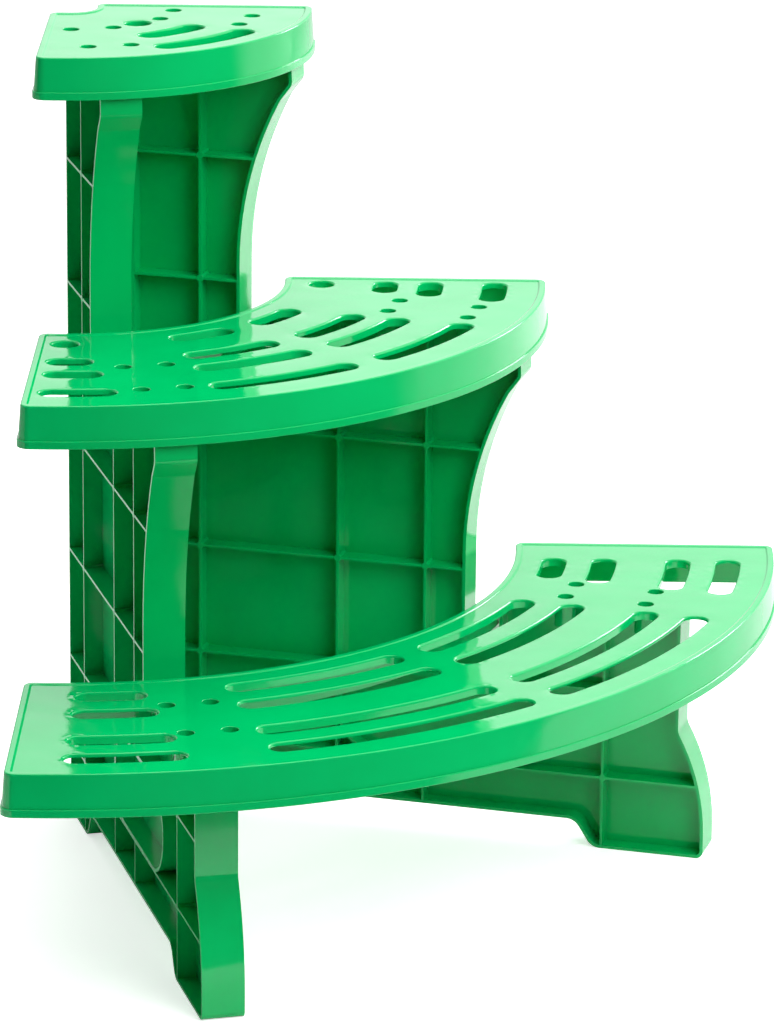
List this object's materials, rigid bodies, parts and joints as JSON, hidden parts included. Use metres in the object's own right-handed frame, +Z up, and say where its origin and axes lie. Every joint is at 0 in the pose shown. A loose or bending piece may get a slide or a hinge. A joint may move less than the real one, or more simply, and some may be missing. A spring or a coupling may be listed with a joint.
{
  "type": "corner plant stand",
  "caption": "Stepped corner plant stand: quarter-ring slotted shelves on ribbed side frames, moulded in glossy green plastic, free-standing in a wall corner.",
  "frame": {"origin": "on the floor, under the middle of the bounding box, on the diagonal plane that the two frames mirror about", "axes": "+Z up; +X runs along the back wall away from the corner; -Y runs along the left wall away from the corner"},
  "size_m": [0.579, 0.579, 0.642],
  "materials": {
    "shelf_plastic": "glossy moulded bright green polypropylene",
    "frame_plastic": "glossy moulded bright green polypropylene"
  },
  "bodies": {
    "root": {"lower_shelf": "shelf_plastic", "middle_shelf": "shelf_plastic", "top_shelf": "shelf_plastic", "left_side_frame": "frame_plastic", "right_side_frame": "frame_plastic"}
  },
  "joints": []
}
